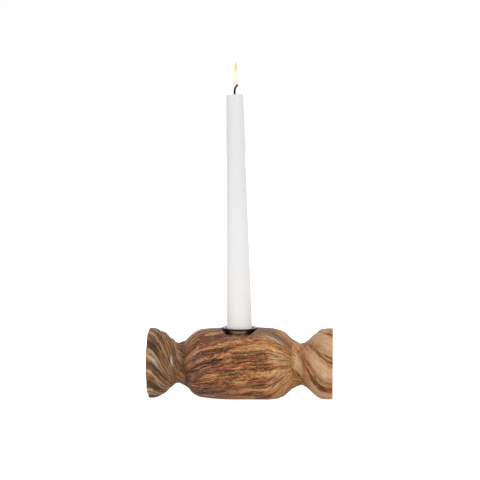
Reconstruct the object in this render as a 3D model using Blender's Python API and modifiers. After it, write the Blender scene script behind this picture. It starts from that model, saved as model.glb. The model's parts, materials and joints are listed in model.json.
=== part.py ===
"""A candlestick carved from one block of wood in the shape of a wrapped sweet.

A steel candle cup sits in a pocket in the crest of the block, held by a screw through its floor.
A taper candle with its wick stands in the cup, leaning a little, and lifts out along its own axis.

Metres, +Z up, +X along the sweet. The origin is on the underside, straight below the cup's axis.
"""

import math

import bmesh
import bpy
from mathutils import Matrix, Vector

MM = 0.001

# The carved block. Each outline point is (distance along X, radius): the fan's rim, the waist, the
# shoulder and the belly of each half, with the points between them that bend the curve.
OUTLINE = [
    (-79.0 * MM, 31.0 * MM),
    (-74.0 * MM, 30.5 * MM),
    (-67.0 * MM, 28.1 * MM),
    (-58.8 * MM, 21.0 * MM),
    (-53.3 * MM, 17.7 * MM),
    (-48.5 * MM, 19.4 * MM),
    (-38.5 * MM, 27.4 * MM),
    (-33.0 * MM, 29.7 * MM),
    (-17.0 * MM, 31.2 * MM),
    (1.0 * MM, 31.6 * MM),
    (21.0 * MM, 31.2 * MM),
    (33.0 * MM, 30.1 * MM),
    (38.5 * MM, 27.7 * MM),
    (43.7 * MM, 23.5 * MM),
    (48.5 * MM, 20.3 * MM),
    (53.4 * MM, 18.2 * MM),
    (57.4 * MM, 19.8 * MM),
    (66.0 * MM, 27.4 * MM),
    (72.0 * MM, 30.5 * MM),
    (80.8 * MM, 31.0 * MM),
]
LEFT_END, RIGHT_END = OUTLINE[0][0], OUTLINE[-1][0]
LEFT_WAIST, RIGHT_WAIST = OUTLINE[4][0], OUTLINE[15][0]
BELLY_RADIUS = OUTLINE[9][1]
FOOT_HALF_WIDTH = 8.0 * MM
AXIS_HEIGHT = math.sqrt(BELLY_RADIUS**2 - FOOT_HALF_WIDTH**2)
CREST = AXIS_HEIGHT + BELLY_RADIUS
# A hand-held block wanders: (distance along X, rise of the middle of the section).
WANDER = [
    (LEFT_END, 0.1 * MM),
    (LEFT_WAIST, 0.2 * MM),
    (0.0, 0.0),
    (64.0 * MM, -0.3 * MM),
    (RIGHT_END, 0.5 * MM),
]
LEFT_ARRIS, RIGHT_ARRIS = 1.6 * MM, 0.6 * MM

# Carved folds. Angles are from the front (-Y), upwards. On a side's rim one fold stands at rim_angle
# and the others at equal steps from it. They wind by twist and wrap on the way to the waist, more at
# the top of the right fan than under it, and by a last NECK_WRAP beyond. A shape is the depth of a
# fold, 0 to 1, at points from one fold (0) down to the next (1).
LEFT_SIDE = {
    "end": LEFT_END,
    "waist": LEFT_WAIST,
    "rim_angle": math.radians(31.5),
    "turn": -1,
    "count": 10,
    "twist": math.radians(97),
    "unevenness": 0.0,
    "shape": [(0.0, 0.0), (0.2, 0.2), (0.38, 0.3), (0.72, 1.0), (0.9, 0.7), (1.0, 0.0)],
}
RIGHT_SIDE = {
    "end": RIGHT_END,
    "waist": RIGHT_WAIST,
    "rim_angle": math.radians(11),
    "turn": 1,
    "count": 7,
    "twist": math.radians(68),
    "unevenness": 0.6,
    "shape": [(0.0, 1.0), (0.1, 0.45), (0.3, 0.05), (0.5, 0.0), (0.75, 0.15), (0.92, 0.6), (1.0, 1.0)],
}
STEEPEST = math.radians(76)  # rim angle of the fold that winds the most
FAN_WRAP = math.radians(27)
NECK_WRAP, NECK_REACH = math.radians(30), 6.0 * MM
FOLD_DEPTHS = [
    (LEFT_END, 2.9 * MM),
    (-69.0 * MM, 2.6 * MM),
    (-61.0 * MM, 1.3 * MM),
    (LEFT_WAIST, 0.5 * MM),
    (-40.0 * MM, 0.0),
    (36.0 * MM, 0.0),
    (46.0 * MM, 0.6 * MM),
    (RIGHT_WAIST, 1.0 * MM),
    (66.0 * MM, 1.7 * MM),
    (RIGHT_END, 1.7 * MM),
]
BLOCK_SEGMENTS = 80
FINE_STEP, COARSE_STEP = 2.7 * MM, 6.0 * MM
COARSE_HALF_LENGTH = 24.0 * MM

# The cup: a spun steel tube with a floor and, at its mouth, a flat flange with a rolled bead.
CUP_INNER_RADIUS = 11.8 * MM
CUP_WALL = 0.8 * MM
CUP_OUTER_RADIUS = CUP_INNER_RADIUS + CUP_WALL
CUP_FLOOR_BEND = 2.0 * MM
CUP_THROAT_BEND = 1.4 * MM
GAP = 0.3 * MM  # between touching pieces
BEAD_CENTRE_RADIUS = 14.75 * MM
BEAD_RADIUS = 0.7 * MM
BEAD_HEIGHT = CREST - 0.6 * MM
CUP_FLOOR_TOP = BEAD_HEIGHT - 20.6 * MM
POCKET_FLOOR = CREST - 5.2 * MM
POCKET_RADIUS = BEAD_CENTRE_RADIUS + BEAD_RADIUS + 0.5 * MM
POCKET_STRETCH = 1.3  # the pocket runs out over the block's front and back
BORE_RADIUS = CUP_OUTER_RADIUS + 0.4 * MM
BORE_FLOOR = CUP_FLOOR_TOP - CUP_WALL - GAP
CUP_STEPS = 48

# The round-head wood screw that holds the cup.
SCREW_HEAD_RADIUS, SCREW_HEAD_HEIGHT = 3.9 * MM, 2.5 * MM
SCREW_SHANK_RADIUS = 1.75 * MM
SCREW_LENGTH = 19.0 * MM
SCREW_POINT = 4.0 * MM
SCREW_HOLE_RADIUS = SCREW_SHANK_RADIUS + GAP
SLOT_WIDTH, SLOT_DEPTH = 1.0 * MM, 1.0 * MM
SCREW_SEAT = CUP_FLOOR_TOP + GAP

# The candle and its wick, in their own frame: +Z along the candle, origin at its foot.
CANDLE_FOOT = SCREW_SEAT + SCREW_HEAD_HEIGHT + GAP
CANDLE_LEAN = math.radians(-1.14)
CANDLE_LENGTH = 218.0 * MM
CANDLE_FOOT_RADIUS, CANDLE_TOP_RADIUS = 11.4 * MM, 7.35 * MM
CANDLE_FOOT_CHAMFER = 0.8 * MM
MELT_DEPTH, MELT_RIM = 1.2 * MM, 1.3 * MM
CANDLE_STEPS = 40
WICK_RADIUS = 0.75 * MM
WICK_BORE_RADIUS = WICK_RADIUS + GAP
WICK_STRAIGHT = CANDLE_LENGTH + 4.5 * MM
WICK_HOOK = [  # above the straight part: (sideways, up)
    (0.2 * MM, 1.5 * MM),
    (0.9 * MM, 2.9 * MM),
    (1.8 * MM, 4.1 * MM),
    (2.8 * MM, 5.0 * MM),
]


def clear_scene():
    for thing in list(bpy.data.objects):
        bpy.data.objects.remove(thing, do_unlink=True)


def new_collection(name):
    collection = bpy.data.collections.new(name)
    bpy.context.scene.collection.children.link(collection)
    return collection


def new_object(name, data, collection):
    thing = bpy.data.objects.new(name, data)
    collection.objects.link(thing)
    return thing


def paint(thing, name, colour, roughness, metallic):
    material = bpy.data.materials.new(name)
    material.use_nodes = True
    shader = material.node_tree.nodes["Principled BSDF"]
    shader.inputs["Base Color"].default_value = (*colour, 1.0)
    shader.inputs["Roughness"].default_value = roughness
    shader.inputs["Metallic"].default_value = metallic
    thing.data.materials.append(material)


def along(points, x):
    """Height at x of a smooth curve through points that never overshoots them."""
    steps = [(b[0] - a[0], (b[1] - a[1]) / (b[0] - a[0])) for a, b in zip(points, points[1:])]
    slopes = [0.0]
    for (_, before), (_, after) in zip(steps, steps[1:]):
        turning = before * after <= 0
        slopes.append(0.0 if turning else 2 * before * after / (before + after))
    slopes.append(0.0)
    x = min(max(x, points[0][0]), points[-1][0])
    i = max(k for k in range(len(steps)) if points[k][0] <= x)
    width = steps[i][0]
    t = (x - points[i][0]) / width
    return (
        points[i][1] * (1 + 2 * t) * (1 - t) ** 2
        + slopes[i] * width * t * (1 - t) ** 2
        + points[i + 1][1] * t * t * (3 - 2 * t)
        - slopes[i + 1] * width * t * t * (1 - t)
    )


def rim_place(x, angle, side):
    """Angle on the rim of the fold line that passes through (x, angle)."""
    fan = min((side["end"] - x) / (side["end"] - side["waist"]), 1.0)
    past_waist = max(abs(side["waist"]) - abs(x), 0.0)
    evenly = FAN_WRAP * fan**8 + NECK_WRAP * (1 - math.exp(-past_waist / NECK_REACH))
    target = angle - side["turn"] * evenly
    winding = side["turn"] * side["twist"] * fan**1.9
    place = target - winding
    for _ in range(6):
        lean = place - STEEPEST
        error = place + winding * (1 + side["unevenness"] * math.cos(lean)) - target
        place -= error / (1 - winding * side["unevenness"] * math.sin(lean))
    return place


def carved_radius(x, angle):
    side = LEFT_SIDE if x < 0 else RIGHT_SIDE
    turn = side["count"] * (side["rim_angle"] - rim_place(x, angle, side)) / (2 * math.pi)
    return along(OUTLINE, x) - along(FOLD_DEPTHS, x) * along(side["shape"], turn % 1.0)


def block_stations():
    """(x, share of the radius, inset) for each ring of the block, from the left end to the right."""
    stations = [(LEFT_END, 0.0, 0.0), (LEFT_END, 0.5, 0.0)]
    stations += [(LEFT_END, 1.0, LEFT_ARRIS), (LEFT_END + 0.3 * LEFT_ARRIS, 1.0, 0.3 * LEFT_ARRIS)]
    x = LEFT_END + LEFT_ARRIS
    while x < RIGHT_END - RIGHT_ARRIS - FINE_STEP / 2:
        stations.append((x, 1.0, 0.0))
        x += COARSE_STEP if abs(x) < COARSE_HALF_LENGTH else FINE_STEP
    stations += [(RIGHT_END - RIGHT_ARRIS, 1.0, 0.0), (RIGHT_END, 1.0, RIGHT_ARRIS)]
    stations += [(RIGHT_END, 0.5, 0.0), (RIGHT_END, 0.0, 0.0)]
    return stations


def carve_block(parts, cutters):
    """A round blank, a sphere whose poles lie on X, with each ring moved to its carved place."""
    stations = block_stations()
    rings = len(stations) - 1
    blank = bmesh.new()
    bmesh.ops.create_uvsphere(blank, u_segments=BLOCK_SEGMENTS, v_segments=rings, radius=1.0)
    for point in blank.verts:
        ring = round(math.acos(max(-1.0, min(1.0, point.co.z))) * rings / math.pi)
        x, share, inset = stations[ring]
        # The sphere's equator lies in its XY plane, whose -Y is the block's front.
        angle = math.atan2(point.co.x, -point.co.y)
        radius = share * (carved_radius(x, angle) - inset)
        middle = AXIS_HEIGHT + along(WANDER, x)
        point.co = Vector(
            (x, -radius * math.cos(angle), middle + radius * math.sin(angle))
        )
    bmesh.ops.recalc_face_normals(blank, faces=blank.faces)
    mesh = bpy.data.meshes.new("wood_body")
    blank.to_mesh(mesh)
    blank.free()
    mesh.shade_smooth()
    mesh.set_sharp_from_angle(angle=math.radians(40))
    block = new_object("wood_body", mesh, parts)
    paint(block, "oiled_mango_wood", (0.32, 0.16, 0.08), 0.42, 0.0)
    for cutter in foot_saw(cutters), pocket_cutter(cutters), bore_drill(cutters):
        cut = block.modifiers.new("Cut", "BOOLEAN")
        cut.operation, cut.object = "DIFFERENCE", cutter
    return block


def hide_cutter(thing):
    thing.hide_render = True
    thing.display_type = "WIRE"
    return thing


def foot_saw(cutters):
    """Everything under the table's plane, which leaves the flat foot."""
    depth = 10 * MM
    mesh = bpy.data.meshes.new("foot_saw")
    form = bmesh.new()
    bmesh.ops.create_cube(form, size=1.0)
    bmesh.ops.scale(form, vec=(200 * MM, 100 * MM, depth), verts=form.verts)
    bmesh.ops.translate(form, vec=(0, 0, -depth / 2), verts=form.verts)
    form.to_mesh(mesh)
    form.free()
    return hide_cutter(new_object("foot_saw", mesh, cutters))


def turned(name, profile, steps, collection, closed):
    """A turned piece: (radius, height) points, running down the outer side."""
    mesh = bpy.data.meshes.new(name)
    count = len(profile)
    edges = [(i, i + 1) for i in range(count - 1)] + ([(count - 1, 0)] if closed else [])
    mesh.from_pydata([(radius, 0, height) for radius, height in profile], edges, [])
    piece = new_object(name, mesh, collection)
    screw = piece.modifiers.new("Screw", "SCREW")
    screw.steps = screw.render_steps = steps
    screw.use_merge_vertices = True
    screw.merge_threshold = 0.00001
    screw.use_smooth_shade = True
    return piece


def pocket_cutter(cutters):
    """The flat-floored pocket under the cup's flange."""
    above = CREST + 5 * MM
    profile = [(0, above), (POCKET_RADIUS, above), (POCKET_RADIUS, POCKET_FLOOR), (0, POCKET_FLOOR)]
    pocket = turned("pocket_cutter", profile, CUP_STEPS, cutters, closed=False)
    pocket.scale.y = POCKET_STRETCH
    return hide_cutter(pocket)


def bore_drill(cutters):
    """The bore for the cup and the pilot hole for the screw below it, in one cutter."""
    above = CREST + 5 * MM
    pilot_floor = SCREW_SEAT - SCREW_LENGTH - 1 * MM
    profile = [
        (0, above),
        (BORE_RADIUS, above),
        (BORE_RADIUS, BORE_FLOOR),
        (SCREW_HOLE_RADIUS, BORE_FLOOR),
        (SCREW_HOLE_RADIUS, pilot_floor),
        (0, pilot_floor),
    ]
    return hide_cutter(turned("bore_drill", profile, CUP_STEPS, cutters, closed=False))


def arc(centre, radius, start, stop, count):
    """Points on an arc in the profile plane. Angles in degrees from the outward direction, upwards."""
    found = []
    for i in range(count + 1):
        angle = math.radians(start + (stop - start) * i / count)
        found.append(
            (centre[0] + radius * math.cos(angle), centre[1] + radius * math.sin(angle))
        )
    return found


def spin_cup(parts):
    half_wall = CUP_WALL / 2
    bead_edge = 180 - math.degrees(math.asin(half_wall / BEAD_RADIUS))
    floor_bend = (CUP_OUTER_RADIUS - CUP_FLOOR_BEND, CUP_FLOOR_TOP - CUP_WALL + CUP_FLOOR_BEND)
    throat_bend = (CUP_INNER_RADIUS + CUP_THROAT_BEND, BEAD_HEIGHT + half_wall - CUP_THROAT_BEND)
    profile = arc((BEAD_CENTRE_RADIUS, BEAD_HEIGHT), BEAD_RADIUS, bead_edge, -bead_edge, 8)
    profile += [(CUP_OUTER_RADIUS, BEAD_HEIGHT - half_wall)]
    profile += arc(floor_bend, CUP_FLOOR_BEND, 0, -90, 3)
    profile += [
        (SCREW_HOLE_RADIUS, CUP_FLOOR_TOP - CUP_WALL),
        (SCREW_HOLE_RADIUS, CUP_FLOOR_TOP),
    ]
    profile += arc(floor_bend, CUP_FLOOR_BEND - CUP_WALL, -90, 0, 3)
    profile += arc(throat_bend, CUP_THROAT_BEND, 180, 90, 4)
    cup = turned("candle_cup", profile, CUP_STEPS, parts, closed=True)
    paint(cup, "blackened_steel", (0.18, 0.175, 0.17), 0.35, 1.0)


def make_screw(parts, cutters):
    """A round head with a slot, a plain shank and a point."""
    point_height = SCREW_SEAT - SCREW_LENGTH
    dome_radius = (SCREW_HEAD_RADIUS**2 + SCREW_HEAD_HEIGHT**2) / (2 * SCREW_HEAD_HEIGHT)
    dome_centre = (0, SCREW_SEAT + SCREW_HEAD_HEIGHT - dome_radius)
    edge_angle = math.degrees(math.acos(SCREW_HEAD_RADIUS / dome_radius))
    if dome_centre[1] > SCREW_SEAT:
        edge_angle = -edge_angle
    profile = arc(dome_centre, dome_radius, 90, edge_angle, 6)
    profile += [
        (SCREW_SHANK_RADIUS, SCREW_SEAT),
        (SCREW_SHANK_RADIUS, point_height + SCREW_POINT),
        (0, point_height),
    ]
    profile[0] = (0, SCREW_SEAT + SCREW_HEAD_HEIGHT)
    screw = turned("cup_screw", profile, 24, parts, closed=False)
    paint(screw, "zinc_plated_steel", (0.55, 0.53, 0.48), 0.3, 1.0)
    mesh = bpy.data.meshes.new("slot_cutter")
    form = bmesh.new()
    bmesh.ops.create_cube(form, size=1.0)
    size = (3 * SCREW_HEAD_RADIUS, SLOT_WIDTH, 2 * SLOT_DEPTH)
    bmesh.ops.scale(form, vec=size, verts=form.verts)
    top = SCREW_SEAT + SCREW_HEAD_HEIGHT
    bmesh.ops.translate(form, vec=(0, 0, top), verts=form.verts)
    form.to_mesh(mesh)
    form.free()
    slot = hide_cutter(new_object("slot_cutter", mesh, cutters))
    cut = screw.modifiers.new("Slot", "BOOLEAN")
    cut.operation, cut.object = "DIFFERENCE", slot


def candle_frame(parts):
    """An empty at the candle's foot, leaning with it. The candle stays centred in the cup's depth."""
    frame = new_object("candle_frame", None, parts)
    seat_depth = BEAD_HEIGHT - CANDLE_FOOT
    offset = -math.tan(CANDLE_LEAN) * seat_depth / 2
    frame.matrix_world = Matrix.Translation((offset, 0, CANDLE_FOOT)) @ Matrix.Rotation(
        CANDLE_LEAN, 4, "Y"
    )
    return frame


def mould_candle(parts, frame):
    """A tapered candle with the wick's bore through it and a shallow melt pool."""
    slope = (CANDLE_FOOT_RADIUS - CANDLE_TOP_RADIUS) / CANDLE_LENGTH
    profile = [
        (CANDLE_TOP_RADIUS - MELT_RIM, CANDLE_LENGTH),
        (CANDLE_TOP_RADIUS - 0.4 * MM, CANDLE_LENGTH),
        (CANDLE_TOP_RADIUS, CANDLE_LENGTH - 0.5 * MM),
        (CANDLE_FOOT_RADIUS - slope * CANDLE_FOOT_CHAMFER, CANDLE_FOOT_CHAMFER),
        (CANDLE_FOOT_RADIUS - CANDLE_FOOT_CHAMFER, 0),
        (WICK_BORE_RADIUS, 0),
        (WICK_BORE_RADIUS, CANDLE_LENGTH - MELT_DEPTH),
        (CANDLE_TOP_RADIUS / 2, CANDLE_LENGTH - MELT_DEPTH * 0.85),
    ]
    candle = turned("candle", profile, CANDLE_STEPS, parts, closed=True)
    paint(candle, "white_wax", (0.85, 0.84, 0.81), 0.45, 0.0)
    candle.parent = frame


def thread_wick(parts, frame):
    """The wick runs the candle's whole length and curls over above it."""
    curve = bpy.data.curves.new("wick", "CURVE")
    curve.dimensions = "3D"
    curve.bevel_depth = WICK_RADIUS
    curve.bevel_resolution = 2
    curve.use_fill_caps = True
    points = [(0, 0.2 * MM), (0, CANDLE_LENGTH / 2), (0, CANDLE_LENGTH), (0, WICK_STRAIGHT)]
    points += [(aside, WICK_STRAIGHT + up) for aside, up in WICK_HOOK]
    line = curve.splines.new("POLY")
    line.points.add(len(points) - 1)
    for point, (aside, up) in zip(line.points, points):
        point.co = (aside, 0, up, 1)
    wick = new_object("wick", curve, parts)
    paint(wick, "charred_cotton", (0.02, 0.015, 0.012), 0.9, 0.0)
    wick.parent = frame


def main():
    clear_scene()
    parts = new_collection("wooden_candlestick")
    cutters = new_collection("cutters")
    carve_block(parts, cutters)
    spin_cup(parts)
    make_screw(parts, cutters)
    frame = candle_frame(parts)
    mould_candle(parts, frame)
    thread_wick(parts, frame)


main()
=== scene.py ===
"""The looks of a candlestick carved as a wrapped sweet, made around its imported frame.

Metres, +Z up, +X along the sweet. The block's outline and folds follow the frame's own. The heights
of the cup, the candle and the wick are measured from their nodes in the frame.
"""

import json
import math

import bmesh
import bpy
import numpy as np
from mathutils import Matrix, Vector, noise


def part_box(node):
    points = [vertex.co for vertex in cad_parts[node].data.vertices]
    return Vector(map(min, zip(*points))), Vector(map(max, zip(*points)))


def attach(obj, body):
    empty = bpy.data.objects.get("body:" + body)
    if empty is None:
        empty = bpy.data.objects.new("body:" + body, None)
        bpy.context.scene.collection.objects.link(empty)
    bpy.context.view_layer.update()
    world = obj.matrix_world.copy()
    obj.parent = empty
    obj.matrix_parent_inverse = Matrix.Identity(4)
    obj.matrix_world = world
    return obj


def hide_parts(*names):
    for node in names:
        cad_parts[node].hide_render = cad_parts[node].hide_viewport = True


MM = 0.001
PER_MM = 1 / MM

# The block's outline: (distance along X, radius), from the left fan's rim to the right one's.
OUTLINE = [
    (-79.0 * MM, 31.0 * MM),
    (-74.0 * MM, 30.5 * MM),
    (-67.0 * MM, 28.1 * MM),
    (-58.8 * MM, 21.0 * MM),
    (-53.3 * MM, 17.7 * MM),
    (-48.5 * MM, 19.4 * MM),
    (-38.5 * MM, 27.4 * MM),
    (-33.0 * MM, 29.7 * MM),
    (-17.0 * MM, 31.2 * MM),
    (1.0 * MM, 31.6 * MM),
    (21.0 * MM, 31.2 * MM),
    (33.0 * MM, 30.1 * MM),
    (38.5 * MM, 27.7 * MM),
    (43.7 * MM, 23.5 * MM),
    (48.5 * MM, 20.3 * MM),
    (53.4 * MM, 18.2 * MM),
    (57.4 * MM, 19.8 * MM),
    (66.0 * MM, 27.4 * MM),
    (72.0 * MM, 30.5 * MM),
    (80.8 * MM, 31.0 * MM),
]
LEFT_END, RIGHT_END = OUTLINE[0][0], OUTLINE[-1][0]
LEFT_WAIST, RIGHT_WAIST = OUTLINE[4][0], OUTLINE[15][0]
BELLY_RADIUS = OUTLINE[9][1]
FOOT_HALF_WIDTH = 8.0 * MM
AXIS_HEIGHT = math.sqrt(BELLY_RADIUS**2 - FOOT_HALF_WIDTH**2)
CREST = AXIS_HEIGHT + BELLY_RADIUS
# Rise of the middle of the section: (distance along X, rise).
WANDER = [
    (LEFT_END, 0.1 * MM),
    (LEFT_WAIST, 0.2 * MM),
    (0.0, 0.0),
    (64.0 * MM, -0.3 * MM),
    (RIGHT_END, 0.5 * MM),
]
LEFT_ARRIS, RIGHT_ARRIS = 1.8 * MM, 0.6 * MM

# Carved folds. Angles are from the front (-Y), upwards. On a side's rim one fold stands at rim_angle
# and the others at equal steps from it. They wind by twist and wrap on the way to the waist, more at
# the top of the right fan than under it, and by a last NECK_WRAP beyond. A shape is the depth of a
# fold, 0 to 1, at points from one fold (0) down to the next (1).
LEFT_SIDE = {
    "end": LEFT_END,
    "waist": LEFT_WAIST,
    "rim_angle": math.radians(31.5),
    "turn": -1,
    "count": 10,
    "twist": math.radians(97),
    "unevenness": 0.0,
    "shape": [(0.0, 0.0), (0.08, 0.22), (0.35, 0.32), (0.7, 1.0), (0.88, 0.7), (1.0, 0.0)],
    "deepest": math.radians(50),
    "beat": 5,
}
RIGHT_SIDE = {
    "end": RIGHT_END,
    "waist": RIGHT_WAIST,
    "rim_angle": math.radians(11),
    "turn": 1,
    "count": 7,
    "twist": math.radians(68),
    "unevenness": 0.6,
    "shape": [(0.0, 1.0), (0.06, 0.45), (0.2, 0.08), (0.5, 0.0), (0.78, 0.2), (0.93, 0.62), (1.0, 1.0)],
    "deepest": math.radians(-38),
    "beat": 2,
}
STEEPEST = math.radians(76)  # rim angle of the fold that winds the most
TWIST_POWER = 1.9  # above 1: more of the twist lies near the waist
FAN_WRAP, FAN_WRAP_POWER = math.radians(27), 8
NECK_WRAP, NECK_REACH = math.radians(30), 6.0 * MM
NEWTON_STEPS = 6
FOLD_BEAT = 0.22  # round the block the folds' depth swings by this share of the whole, both ways
# How deep the folds are cut: (distance along X, depth).
FOLD_DEPTHS = [
    (LEFT_END, 2.9 * MM),
    (-69.0 * MM, 2.5 * MM),
    (-62.0 * MM, 0.9 * MM),
    (LEFT_WAIST, 0.5 * MM),
    (-40.0 * MM, 0.0),
    (36.0 * MM, 0.0),
    (46.0 * MM, 0.6 * MM),
    (RIGHT_WAIST, 1.0 * MM),
    (66.0 * MM, 1.7 * MM),
    (RIGHT_END, 1.7 * MM),
]
# Creases where the belly is gathered into each neck. A place is along X at the front, and the lean
# is how much further along X the crease lies at the top. The shade is how dark the painted shade in
# the crease is at the front, and shade_rise how much darker it is at the top.
LEFT_CREASE = {
    "place": -46.4 * MM,
    "lean": -2.2 * MM,
    "half_width": 2.1 * MM,
    "depth": 0.6 * MM,
    "shade": 0.65,
    "shade_rise": -0.25,
}
RIGHT_CREASE = {
    "place": 45.8 * MM,
    "lean": -0.6 * MM,
    "half_width": 2.2 * MM,
    "depth": 0.3 * MM,
    "shade": 0.1,
    "shade_rise": 0.12,
}
# Chisel marks along the grain: (depth, length, width).
CHISEL_MARKS = [
    (0.3 * MM, 22 * MM, 2.6 * MM),
    (0.55 * MM, 34 * MM, 9 * MM),
]

# The belly's grain rises to the right: it leaves the left neck steeply and levels out.
SWIRL, SWIRL_REACH = math.radians(63), 4.5 * MM
SWEEP, SWEEP_REACH = math.radians(40), 30.0 * MM
GATHER, GATHER_ANGLE = math.radians(45), math.radians(15)  # at the right shoulder
GATHER_START, GATHER_END = 22.0 * MM, 48.0 * MM
GRAIN_RADIUS = BELLY_RADIUS  # turns angles into widths across the grain
PITH = (13.0 * MM, -22.0 * MM)  # centre of the rings in the end faces, across and up from the axis
RING_RADIUS = 8.0 * MM  # turns angles round the pith into lengths along the rings
END_FACE_DEPTH, END_FACE_SHADE = 0.01 * MM, 0.15  # sawn wood: how near an end, and how dark
DARKEST_DEPTH = 2.2 * MM  # of a fold: the painted shade in it grows with depth down to this, and deeper ones are no darker
CREST_SHARE = 0.12  # of a fold's depth: what lies higher is worn pale and given a painted highlight
FAN_START = (56.0 * MM, 64.0 * MM)  # from the middle: where the worn crests with their painted highlight set in

# Stains and mineral streaks, and painted highlights, sheen and shade, with angles in degrees:
# (distance along X, angle, half length, half width, colour, strength).
STAINS_AND_PAINTED_LIGHT = [
    (14 * MM, 28, 6.5 * MM, 0.8 * MM, (0.03, 0.032, 0.028), 1.0),
    (9 * MM, 27, 15 * MM, 1.5 * MM, (0.075, 0.05, 0.035), 0.6),
    (-26 * MM, -47, 13 * MM, 3.3 * MM, (0.03, 0.021, 0.014), 1.0),
    # Painted sheen: grey along the top of the belly.
    (24 * MM, 68, 20 * MM, 7.0 * MM, (0.17, 0.13, 0.085), 0.8),
    (0 * MM, 64, 26 * MM, 9.5 * MM, (0.215, 0.1, 0.068), 0.8),
    # Painted highlight: a pale grey gloss patch on the upper right of the belly.
    (30 * MM, 53, 8 * MM, 1.7 * MM, (0.6, 0.57, 0.51), 0.9),
    (10 * MM, 57, 22 * MM, 3.0 * MM, (0.2, 0.14, 0.11), 0.5),
    (9 * MM, 36, 13 * MM, 1.8 * MM, (0.5, 0.22, 0.055), 0.75),
    (1 * MM, -24, 5 * MM, 1.3 * MM, (0.48, 0.19, 0.04), 0.75),
    (4 * MM, -36, 18 * MM, 4.0 * MM, (0.46, 0.21, 0.11), 0.5),
    # Light tan wood with a painted highlight at the right shoulder.
    (35 * MM, 19, 8 * MM, 3.4 * MM, (0.7, 0.5, 0.28), 0.7),
    (38 * MM, -6, 6 * MM, 3.0 * MM, (0.58, 0.38, 0.2), 0.5),
    (-10 * MM, 52, 14 * MM, 4.0 * MM, (0.3, 0.125, 0.09), 0.55),
    (-14 * MM, 4, 13 * MM, 3.2 * MM, (0.3, 0.1, 0.055), 0.55),
    (-31 * MM, 22, 8 * MM, 1.8 * MM, (0.06, 0.04, 0.028), 0.65),
    (-27 * MM, 12, 10 * MM, 0.9 * MM, (0.045, 0.03, 0.022), 0.75),
    (-37 * MM, -14, 7 * MM, 5.0 * MM, (0.1, 0.055, 0.04), 0.55),
    (-41 * MM, 8, 3 * MM, 9.0 * MM, (0.26, 0.12, 0.08), 0.5),
    (36 * MM, -17, 7 * MM, 1.3 * MM, (0.11, 0.08, 0.055), 0.8),
    (43 * MM, 52, 5 * MM, 2.0 * MM, (0.14, 0.055, 0.018), 0.7),
    (-76 * MM, 72, 5 * MM, 5.5 * MM, (0.62, 0.4, 0.22), 0.8),
    # A dark knot with painted shade in the upper hollow of the left fan.
    (-73.5 * MM, 42, 3.4 * MM, 3.2 * MM, (0.055, 0.032, 0.016), 0.7),
    # Painted highlight: a whitish patch on the left fan.
    (-72.5 * MM, 13, 3.8 * MM, 2.8 * MM, (0.64, 0.61, 0.58), 0.85),
    (-76 * MM, 18, 5 * MM, 2.8 * MM, (0.52, 0.28, 0.12), 0.75),
    # Painted shade in the lower hollow of the left fan.
    (-73 * MM, -24, 4.5 * MM, 3.2 * MM, (0.075, 0.048, 0.026), 0.65),
    (-76 * MM, -52, 6 * MM, 4.5 * MM, (0.42, 0.3, 0.17), 0.6),
    # Painted shade on the left neck, beside its painted highlight.
    (-55 * MM, 20, 2.6 * MM, 4.5 * MM, (0.06, 0.042, 0.025), 0.9),
    # Painted highlight: a near-white streak on the left neck.
    (-57.6 * MM, 12, 1.0 * MM, 6.0 * MM, (0.8, 0.76, 0.7), 0.85),
    (-54 * MM, 49, 4.2 * MM, 7.0 * MM, (0.48, 0.28, 0.17), 0.8),
    # Painted highlight: the lit bulge at the right neck.
    (51 * MM, 8, 4.0 * MM, 10 * MM, (0.7, 0.48, 0.26), 0.6),
    (42 * MM, 12, 4.0 * MM, 5 * MM, (0.66, 0.44, 0.22), 0.4),
    # Painted shade in the deep fold beside the right neck's bulge.
    (56 * MM, 4, 1.4 * MM, 9 * MM, (0.22, 0.11, 0.045), 0.55),
    # Painted highlight: a white streak on the bulge at the right neck.
    (50.3 * MM, 12, 1.1 * MM, 4.5 * MM, (0.85, 0.78, 0.68), 0.6),
    (71 * MM, 36, 10 * MM, 12 * MM, (0.44, 0.24, 0.105), 0.5),
]

POCKET_FLOOR = CREST - 5.2 * MM
POCKET_RADIUS, POCKET_STRETCH = 15.95 * MM, 1.3
BORE_RADIUS = 13.0 * MM
SIDE_CLEARANCE, FLOOR_CLEARANCE = 0.4 * MM, 0.3 * MM  # round and under the cup
CUP_WALL, CUP_BEAD, CUP_BEAD_CENTRE = 0.8 * MM, 0.7 * MM, 14.75 * MM
CUP_BEND, CUP_THROAT_BEND, SCREW_HOLE_RADIUS = 2.0 * MM, 1.4 * MM, 2.05 * MM
BLOCK_SEGMENTS, FACE_RINGS, ARRIS_STEPS = 420, 14, 6
FINE_STEP, COARSE_STEP = 0.42 * MM, 0.7 * MM
COARSE_HALF_LENGTH = 24.0 * MM

# The candle's own frame: +Z along it, origin at its foot.
CANDLE_FOOT_RADIUS, CANDLE_TOP_RADIUS = 11.4 * MM, 7.15 * MM
CANDLE_CHAMFER, CANDLE_SHOULDER, WICK_BORE_RADIUS = 0.8 * MM, 0.5 * MM, 1.05 * MM
CANDLE_STEPS = 60
CANDLE_CROWN = [  # from the wick's bore outwards: (radius, height above the candle's length)
    (WICK_BORE_RADIUS, 1.4 * MM),
    (WICK_BORE_RADIUS + 0.6 * MM, 1.2 * MM),
    (CANDLE_TOP_RADIUS / 2, -0.6 * MM),
    (CANDLE_TOP_RADIUS - 1.3 * MM, 0.0),
    (CANDLE_TOP_RADIUS - 0.4 * MM, 0.0),
]
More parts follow.
